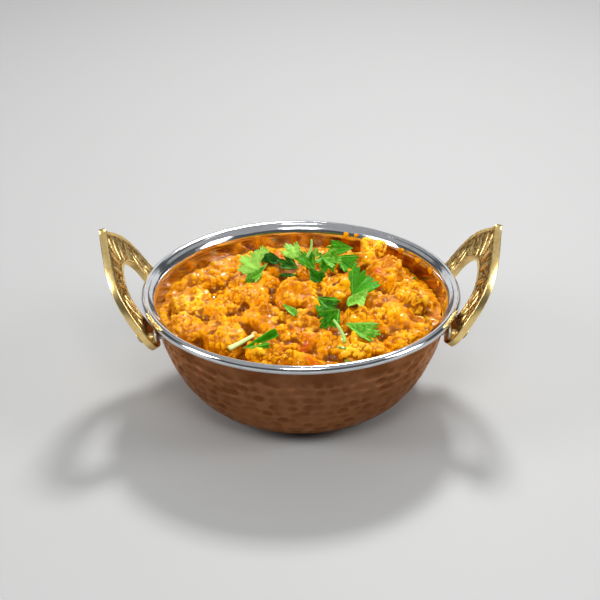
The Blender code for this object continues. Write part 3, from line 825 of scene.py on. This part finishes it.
def add_handle(name, side, material):
    """One arched plate: engraved inside, bevelled edges, a lightly worked outer face."""
    outline = arch_outline(170) / MM
    share = np.linspace(0, 1, 73)
    outer, hole = outline[:, 0], outline[:, 1]
    width = np.linalg.norm(outer - hole, axis=1)[:, None]
    plan = outer[:, None] + (hole - outer)[:, None] * share[None, :, None]
    edge = share[None, :] * width
    relief = engraving(plan[..., 0], plan[..., 1], width, edge)
    edge_in = np.minimum(edge, width - edge)
    rounding = BEVEL * (1 - np.sqrt(1 - np.clip(1 - edge_in / BEVEL, 0, 1) ** 2))
    inner_depth = (ENGRAVED_DEEP * (1 - relief) + rounding) * MM
    outer_depth = PLATE - rounding[:, ::-1] * MM
    face = plate_points(plan[..., 0] * MM, plan[..., 1] * MM, inner_depth)
    back = plate_points(plan[:, ::-1, 0] * MM, plan[:, ::-1, 1] * MM, outer_depth)
    points = np.concatenate([face, back], axis=1)
    points[..., 0] *= side
    worked = np.concatenate([relief, np.full(relief.shape, OUTER_RELIEF)], axis=1)
    piece = add_piece(f"{name}_engraved", points.reshape(-1, 3), tube_faces(*points.shape[:2]), material,
                      "brass", name, attributes={"relief": worked.ravel()})
    piece.modifiers.new("flat_band", "WEIGHTED_NORMAL")


# ---- rivets ----

def ring(centre, along, radius):
    """Points of a circle square to `along`."""
    sides = 28
    level = along.cross(Vector((0, 0, 1))).normalized()
    rise = level.cross(along).normalized()
    turns = [math.tau * i / sides for i in range(sides)]
    return [centre + radius * (math.cos(t) * level + math.sin(t) * rise) for t in turns]


def add_rivet(name, side, row, material):
    """A neck against the wall, a rounded washer lying along the plate, a shank and a domed head."""
    middle = Vector((side * RIVET_OUT, row * RIVET_SIDE, RIVET_HEIGHT))
    along = Vector((side * math.cos(RIVET_YAW), row * math.sin(RIVET_YAW), 0))
    low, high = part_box(name)
    outward = Vector((middle.x, middle.y, 0)).normalized()
    back = (middle.xy.length - WALL_RADIUS + NECK_SUNK) / along.dot(outward)
    tilt = lean(RIVET_UP_PLATE)
    plate_out = Vector((side * math.cos(tilt), 0, -math.sin(tilt)))
    rings = [ring(middle - along * back, outward, SHANK)]
    for turn in np.radians(np.linspace(-78, 78, 15)):
        radius = max(math.cos(turn) ** 0.8 * WASHER_RADIUS, SHANK)
        rings.append(ring(middle + along * math.sin(turn) * WASHER_HALF, along, radius))
    seat = middle + along * ((high.x - low.x) - back * NECK_SHARE - HEAD_RISE)
    rings.append(ring(seat, plate_out, SHANK))
    for turn in np.radians(np.linspace(0, 86, 8)):
        centre = seat + plate_out * HEAD_RISE * math.sin(turn)
        rings.append(ring(centre, plate_out, HEAD_RADIUS * math.cos(turn)))
    faces = grid_faces(len(rings), len(rings[0]), closed=True)
    add_piece(f"{name}_turned", np.array(rings).reshape(-1, 3), faces, material, "rivet", name)


# ---- curry ----

def scratch(name, points, faces):
    """An object that is made only to be changed by a modifier."""
    mesh = bpy.data.meshes.new(name)
    mesh.from_pydata(points.tolist(), [], faces)
    return new_object(name, mesh)


def changed(thing):
    """Points and faces of the thing after its modifiers; the thing itself is removed."""
    graph = bpy.context.evaluated_depsgraph_get()
    graph.update()
    mesh = thing.evaluated_get(graph).to_mesh()
    points = np.empty(len(mesh.vertices) * 3)
    mesh.vertices.foreach_get("co", points)
    faces = [tuple(face.vertices) for face in mesh.polygons]
    bpy.data.objects.remove(thing)
    return points.reshape(-1, 3), faces


def tree_over(points, faces):
    """The surface as something that rays can be cast at."""
    return BVHTree.FromPolygons([Vector(point) for point in points], faces)


def surface_under(tree, x, y):
    """The heap's surface under x and y and its normal there, or None twice off the heap."""
    hit, normal, _, _ = tree.ray_cast(Vector((x, y, ABOVE_ALL)), Vector((0, 0, -1)))
    return hit, normal


def joined(pieces):
    """The points and faces of many meshes as those of one."""
    starts = np.cumsum([0] + [len(points) for points, _ in pieces])
    points = np.concatenate([points for points, _ in pieces])
    return points, np.concatenate([faces + start for (_, faces), start in zip(pieces, starts)])


def edges_of(quads):
    """Every edge of the quads once, as pairs of point numbers."""
    pairs = np.concatenate([quads[:, [i, (i + 1) % 4]] for i in range(4)])
    return np.unique(np.sort(pairs, axis=1), axis=0)


def vertex_normals(points, quads):
    """Area-weighted normals of a mesh of quads."""
    a, b, c, d = (points[quads[:, i]] for i in range(4))
    faces = np.cross(c - a, d - b)
    normals = np.zeros_like(points)
    for corner in range(4):
        np.add.at(normals, quads[:, corner], faces)
    return normals / np.maximum(np.linalg.norm(normals, axis=1), 1e-12)[:, None]


def relax(points, edges, rounds):
    """Points drawn half way to the average of their neighbours, `rounds` times."""
    count = np.bincount(edges.ravel(), minlength=len(points))[:, None]
    for _ in range(rounds):
        total = np.zeros_like(points)
        np.add.at(total, edges[:, 0], points[edges[:, 1]])
        np.add.at(total, edges[:, 1], points[edges[:, 0]])
        points = 0.5 * points + 0.5 * total / count
    return points


def ball(centre, size, turn, seed, level=2):
    """A small irregular lump: points and triangles of a ball with a wavering surface."""
    bm = bmesh.new()
    bmesh.ops.create_icosphere(bm, subdivisions=level, radius=1.0)
    points = np.array([vert.co for vert in bm.verts])
    faces = np.array([[vert.index for vert in face.verts] for face in bm.faces])
    bm.free()
    points *= (1 + 0.28 * waves(points * 1.3 + 7.7 * seed, 1.0, 51))[:, None]
    points = points * size @ np.array(Matrix.Rotation(turn, 3, "Z")).T
    return points + centre, faces


def knobs(tree, rng):
    """Small lumps half sunk in the heap's surface, gathered in drifts."""
    pieces = []
    while len(pieces) < KNOBS:
        x, y = rng.uniform(-KNOB_FIELD, KNOB_FIELD, 2) * MM
        hit, normal = surface_under(tree, x, y)
        if hit is None or math.hypot(x, y) > KNOB_REACH * MM:
            continue
        if waves(np.array([[x, y, 0.0]]) / MM, 15, 61)[0] < rng.uniform(-0.9, 0.3):
            continue
        size = rng.uniform(*KNOB_SIZES) * MM * rng.uniform(0.75, 1.25, 3) * (1.15, 1.0, 0.8)
        centre = np.array(hit - normal * 0.25 * float(size.min()))
        pieces.append(ball(centre, size, rng.uniform(0, math.tau), len(pieces)))
    return pieces


def heap_base():
    """The solid heap with small lumps added, remeshed evenly: the points and quads of its upper part."""
    solid = frame["nodes"]["curry"].data
    points = np.array([vert.co for vert in solid.vertices])
    faces = [tuple(face.vertices) for face in solid.polygons]
    knob_points, knob_faces = joined(knobs(tree_over(points, faces), np.random.default_rng(7)))
    faces += (knob_faces + len(points)).tolist()
    thing = scratch("heap_base", np.concatenate([points, knob_points]), faces)
    even = thing.modifiers.new("even", "REMESH")
    even.mode = "VOXEL"
    even.voxel_size = VOXEL
    points, faces = changed(thing)
    quads = np.array([face for face in faces if len(face) == 4])
    quads = quads[points[quads][:, :, 2].max(axis=1) > CURRY_LEVEL - 3 * MM]
    used, quads = np.unique(quads, return_inverse=True)
    return points[used], quads.reshape(-1, 4)


def shaped_base():
    """The even heap softened, its tops raised and the valleys between its lumps deepened."""
    points, quads = heap_base()
    edges = edges_of(quads)
    points = relax(points, edges, 1)
    broad = relax(points, edges, 60)
    rise = (points - broad)[:, 2] * (points[:, 2] > CURRY_LEVEL - 1 * MM)
    points[:, 2] += np.where(rise > 0, TOPS_OUT, VALLEYS_DOWN) * rise
    return relax(points, edges, 1), quads


def subdivided(points, quads):
    """The quads split in four and rounded by one subdivision."""
    thing = scratch("heap_fine", points, quads.tolist())
    finer = thing.modifiers.new("finer", "SUBSURF")
    finer.levels = 1
    finer.render_levels = 1
    points, faces = changed(thing)
    return points, np.array(faces)


def meet_wall(points):
    """Points near the wall moved out, so that the sauce's edge ends inside the liner's metal."""
    room = wall_radius(points[:, 2], COPPER + GAP + 0.7 * STEEL)
    reach = np.hypot(points[:, 0], points[:, 1])
    near = smooth(reach, room - DRAWN_FAR, room - DRAWN_NEAR)
    pull = near * smooth(-points[:, 2], -DRAWN_HIGH, -DRAWN_LOW)
    scale = 1 + pull * (np.maximum(room / np.maximum(reach, MM), 1) - 1)
    scale = np.minimum(scale, (room + 0.05 * MM) / np.maximum(reach, MM))
    points[:, :2] *= scale[:, None]
    return points


def zones(points, rows):
    """How far inside the nearest of the given round zones each point lies, 0..1."""
    share = np.zeros(len(points))
    for x, y, radius in rows:
        reach = np.hypot(points[:, 0] - x * MM, points[:, 1] - y * MM) / (radius * MM)
        share = np.maximum(share, 1 - smooth(reach, 0.5, 1.3))
    return share


def crumbs(points, size, seed, power):
    """Round grains of about `size`, high and low, 0 between them."""
    reach, tag = grains(points, size, seed)
    return np.sqrt(np.maximum(1 - (reach / 0.72) ** 2, 0)) * (0.1 + tag) ** power


def heap_relief(points):
    """Over the heap, in millimetres: the height of everything, that of the crumbs, and the gaps, 0..1."""
    where = points / MM
    warp = np.stack([waves(where, 3.2, seed) for seed in (21, 22, 23)], axis=1)
    bent = where + 1.1 * warp
    grit = GRIT_HIGH * crumbs(bent, GRIT_SIZE, 33, 1.5)
    crumbly = 0.4 + 0.6 * smooth(waves(where, 9, 11), -0.5, 0.3)
    relief = crumbly * (CRUMB_HIGH * crumbs(bent, CRUMB_SIZE, 32, 1) + grit)
    folds = 1 - np.abs(waves(where + 0.8 * warp, FOLD_SIZE, 41)) * 2
    rise = FOLD_HIGH * folds + SWELL_HIGH * waves(where, SWELL_SIZE, 42)
    gap = zones(points + 0.7 * MM * warp * (1.5, 1, 0), DARK_GAPS)
    return rise + relief - RELIEF_LEVEL - GAP_DEEP * gap, relief, gap


def add_curry(material):
    """The heap of curry as one fine mesh, and the tree for casting rays at it."""
    points, quads = subdivided(*shaped_base())
    normals = vertex_normals(points, quads)
    if normals[np.argmax(points[:, 2]), 2] < 0:
        normals = -normals
    height, relief, gap = heap_relief(points)
    points = meet_wall(points + normals * (height * MM)[:, None])
    edges = edges_of(quads)
    near = relax(points, edges, CREASE_ROUNDS)
    broad = relax(points, edges, HOLLOW_ROUNDS)
    broader = relax(broad, edges, VALLEY_ROUNDS)
    crease, hollow, valley = (np.einsum("ij,ij->i", step, normals) / MM
                              for step in (near - points, broad - points, broader - broad))
    # Creases, hollows and valleys, with the gaps added to the valleys, drive the painted shade and painted
    # light in the curry's colour
    attributes = {
        "relief": np.clip(relief / 1.2, 0, 1),
        "hollow": hollow,
        "valley": valley + 1.3 * gap,
        "crease": crease,
        "pale": zones(points, PALE_ZONES),
        "red": zones(points, RED_ZONES),
        "brown": zones(points, BROWN_ZONES),
    }
    add_piece("curry_heap", points, quads, material, "masala", "curry", attributes=attributes)
    return tree_over(points, quads.tolist())


# ---- loose bits ----

def add_small(name, pieces, material, slot, attributes):
    """One piece of many small meshes, with the same attributes all over."""
    points, faces = joined(pieces)
    filled = {key: np.full(len(points), value) for key, value in attributes.items()}
    add_piece(name, points, faces, material, slot, attributes=filled)


def add_bits(name, tree, places, sizes, material, slot, attributes, seed, level=2):
    """One mesh of small irregular bits, each half sunk in the heap at its place (millimetres)."""
    rng = np.random.default_rng(seed)
    pieces = []
    for index, (x, y) in enumerate(places):
        size = np.array(sizes[index % len(sizes)]) * MM * rng.uniform(0.75, 1.25, 3)
        hit, normal = surface_under(tree, x * MM, y * MM)
        if hit is None:
            continue
        points, faces = ball((0, 0, 0), size / 2, rng.uniform(0, math.tau), seed + index, level)
        lie = np.array(normal.to_track_quat("Z", "Y").to_matrix())
        pieces.append((points @ lie.T + np.array(hit - normal * (0.15 * size[2])), faces))
    add_small(name, pieces, material, slot, attributes)


def strewn(count, seed, patchy=0.0):
    """Random places over the heap, in millimetres, gathered in drifts where `patchy` is above 0."""
    rng = np.random.default_rng(seed)
    places = []
    while len(places) < count:
        x, y = rng.uniform(-STREWN_FIELD, STREWN_FIELD, 2)
        drift = waves(np.array([[x, y, 0.0]]), 14, seed)[0]
        if math.hypot(x, y) < STREWN_REACH and drift > rng.uniform(-1, 1) * (1 - patchy) + patchy * 0.2:
            places.append((x, y))
    return places


def add_splashes(material, attributes):
    """Flattened drops and crumbs of curry stuck on the liner's wall, each turned to face the axis."""
    pieces = []
    for index, (x, y, z, wide, tall) in enumerate(SPLASHES):
        room = wall_radius(z * MM, COPPER + GAP + STEEL)
        angle = math.atan2(y, x)
        size = np.array((SPLASH_THICK, wide / 2, tall / 2)) * MM
        points, faces = ball((0, 0, 0), size, 0, 90 + index, 3)
        facing_axis = np.array(Matrix.Rotation(angle, 3, "Z"))
        centre = (room * math.cos(angle), room * math.sin(angle), z * MM)
        pieces.append((points @ facing_axis.T + centre, faces))
    add_small("wall_splashes", pieces, material, "masala", attributes)


def bit_look(name, first, second, size, roughness, coat):
    """Moist vegetable or seed, mottled between two colours."""
    look = Look(name, subsurface_weight=0.15, subsurface_scale=0.001, coat_weight=coat, coat_roughness=0.05)
    mottle = look.noise(size, 3)
    look.colour(look.blend(look.spread(mottle, 0.35, 0.65), first, second))
    look.roughness(look.spread(mottle, 0.3, 0.7, roughness, roughness + 0.15))
    look.bump(mottle, 0.1 * MM)
    return look.material


def add_loose_bits(tree, masala):
    """Crumbs and splashes of the curry itself, spice seeds, and bits of vegetable."""
    # Crumbs and splashes take the values of a lump's lit top, so the curry's colour gives them painted
    # light and no painted shade
    crumb = {"relief": 0.9, "crease": -0.1, "hollow": -0.3, "valley": 0, "pale": 0, "red": 0, "brown": 0}
    add_bits("curry_crumbs", tree, strewn(260, 71, 0.6), CRUMB_SIZES, masala, "masala", crumb, 72)
    add_splashes(masala, crumb)
    seeds = bit_look("seed", (0.012, 0.007, 0.005), (0.05, 0.02, 0.008), 0.8 * MM, 0.35, 0.3)
    add_bits("spice_seeds", tree, strewn(150, 73), SEED_SIZES, seeds, None, {}, 74, 1)
    flesh = bit_look("tomato", (0.50, 0.035, 0.006), (0.70, 0.12, 0.01), 1.5 * MM, 0.25, 0.6)
    add_bits("tomato_bits", tree, TOMATO, TOMATO_SIZES, flesh, None, {}, 75)
    pepper = bit_look("green_pepper", (0.16, 0.20, 0.012), (0.26, 0.36, 0.02), 1.8 * MM, 0.25, 0.5)
    add_bits("green_pepper_bits", tree, PEPPER, PEPPER_SIZES, pepper, None, {}, 76)
    bulb = bit_look("onion", (0.72, 0.42, 0.09), (0.85, 0.60, 0.20), 2.5 * MM, 0.25, 0.6)
    add_bits("onion_bits", tree, ONION, ONION_SIZES, bulb, None, {}, 77)


# ---- coriander ----

def leaf_reach(share, lobes):
    """The leaf's outline at -1..1 across its fan: a rounded blade cut into lobes with blunt teeth."""
    turn = lobes * math.pi / 2 * share
    lobe = np.abs(np.cos(turn)) if lobes % 2 else np.abs(np.sin(turn))
    cut = 1 - LOBE_CUT * (1 - lobe ** 0.7) if lobes > 1 else 1
    depth = TOOTH_CUT_LOBED if lobes > 1 else TOOTH_CUT_PLAIN
    teeth = 1 - depth * (1 - np.abs(np.cos((2.3 + 2.6 / lobes) * turn + 0.4)) ** 0.6)
    return (1 - np.abs(share) ** 5) ** 0.5 * (1 - 0.18 * share ** 2) * cut * teeth


def leaf_points(reach, turn, length, spread, fold, curl, seed):
    """The blade: folded along the midrib, curled along its length, wavy at its edge."""
    x = reach * length * np.cos(turn)
    y = reach * length * np.sin(turn)
    wave = 0.08 * np.sin(4 * turn / spread + seed) + 0.05 * np.sin(9 * turn / spread + 2 * seed) * reach
    rise = np.abs(y) * math.sin(fold) + wave * length * reach
    y = y * math.cos(fold)
    bend = curl / length if abs(curl) > 1e-3 else 1e-3 / length
    return np.stack([np.sin(bend * x) / bend - rise * np.sin(bend * x), y,
                     (1 - np.cos(bend * x)) / bend + rise * np.cos(bend * x)], axis=-1)


def facing(x, y, heading, slope):
    """The matrix that turns a leaf or stem to its heading, tips it up to the back and takes it to x, y."""
    place = Matrix.Translation((x * MM, y * MM, 0)) @ Matrix.Rotation(math.radians(slope), 4, "X")
    return place @ Matrix.Rotation(math.radians(heading), 4, "Z")


def placed(points, matrix, node, tree):
    """Points moved by the matrix, level with the CAD node, and up where the heap would cover them."""
    moved = points @ np.array(matrix)[:3, :3].T + np.array(matrix)[:3, 3]
    low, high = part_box(node)
    moved[:, 2] += (low.z + high.z) / 2 - (moved[:, 2].min() + moved[:, 2].max()) / 2
    sunk = [0.0]
    for x, y, z in moved[::7]:
        hit, _ = surface_under(tree, x, y)
        sunk.append(hit.z - z if hit else 0.0)
    moved[:, 2] += np.clip(np.percentile(sunk, CLEAR_SHARE) + CLEARANCE, 0, MOST_LIFT)
    return moved


def leaf_veins(share, reach, width, lobes):
    """Strength, 0..1, of a vein up the middle of each lobe; `width` goes round the blade's edge."""
    veins = np.zeros(reach.shape)
    for centre in np.linspace(-1, 1, 2 * lobes + 1)[1::2] if lobes > 1 else (0.0,):
        near = np.abs(share - centre) * reach * width
        veins = np.maximum(veins, np.exp(-(near / VEIN_WIDTH) ** 2) * (1 - 0.5 * reach))
    return veins


def add_leaf(name, tree, material, x, y, heading, length, spread, slope, fold, curl, lobes, tint):
    """A thin blade over a grid of rows out from the stalk and columns round the fan."""
    rows, columns = 14, 121
    spread, fold, curl = math.radians(spread), math.radians(fold), math.radians(curl)
    share = np.linspace(-1, 1, columns)[None, :]
    reach = np.linspace(0.03, 1, rows)[:, None] * leaf_reach(share, lobes)
    seed = float(len(name) + x)
    points = leaf_points(reach, share * spread, length * MM, spread, fold, curl, seed)
    veins = leaf_veins(share, reach, spread * length, lobes)
    points[..., 2] += VEIN_RISE * veins
    points = placed(points.reshape(-1, 3), facing(x, y, heading, slope), name, tree)
    piece = add_piece(f"{name}_blade", points, grid_faces(rows, columns), material, "coriander_leaf", name,
                      attributes={"vein": veins.ravel(), "tint": np.full(len(points), tint)})
    solid = piece.modifiers.new("thickness", "SOLIDIFY")
    solid.thickness = LEAF_THICK
    solid.offset = 0


def add_stem(name, tree, material, x, y, heading, length, width, slope, bend, tint):
    """A bent, slightly ribbed stem that gets thinner towards its far end."""
    rows, sides = 24, 18
    bend = math.radians(bend)
    angles = np.linspace(0, math.tau, sides, endpoint=False)
    circles = []
    for share in np.linspace(0, 1, rows):
        turn = bend * (share - 0.5)
        centre = np.array((math.sin(turn), 1 - math.cos(turn), 0)) * length * MM / bend
        across = np.array((-math.sin(turn), math.cos(turn), 0))
        radius = width / 2 * MM * (1 - 0.35 * share) * (1 + 0.06 * np.cos(5 * angles))
        way = np.cos(angles)[:, None] * across + 0.8 * np.sin(angles)[:, None] * (0, 0, 1)
        circles.append(centre + radius[:, None] * way)
    matrix = facing(x, y, heading, slope) @ Matrix.Translation((length / 2 * MM, 0, 0))
    points = placed(np.concatenate(circles), matrix, name, tree)
    add_piece(f"{name}_cut", points, tube_faces(rows, sides), material, "coriander_stem", name,
              attributes={"tint": np.full(len(points), tint)})


def add_metal():
    """Copper, liner, handles and rivets."""
    steel = steel_look()
    brass, rivet = brass_look(), rivet_look()
    add_copper(copper_look())
    add_liner(steel)
    for side, place in ((-1, "left"), (1, "right")):
        add_handle(f"handle_{place}", side, brass)
        for row, end in ((-1, "front"), (1, "back")):
            add_rivet(f"rivet_{place}_{end}", side, row, rivet)


def add_food():
    """Curry, the bits on it, and coriander."""
    masala = masala_look()
    tree = add_curry(masala)
    add_loose_bits(tree, masala)
    leaf, stem = leaf_look(), stem_look()
    for number, *row in LEAVES:
        add_leaf(f"leaf_{number:02d}", tree, leaf, *row)
    for number, *row in STEMS:
        add_stem(f"stem_{number:02d}", tree, stem, *row)


def main():
    bpy.context.scene.view_settings.view_transform = "Standard"
    add_camera()
    add_world()
    add_floor()
    for name, row in SOFTBOXES.items():
        add_softbox(name, *row)
    add_metal()
    add_food()


main()
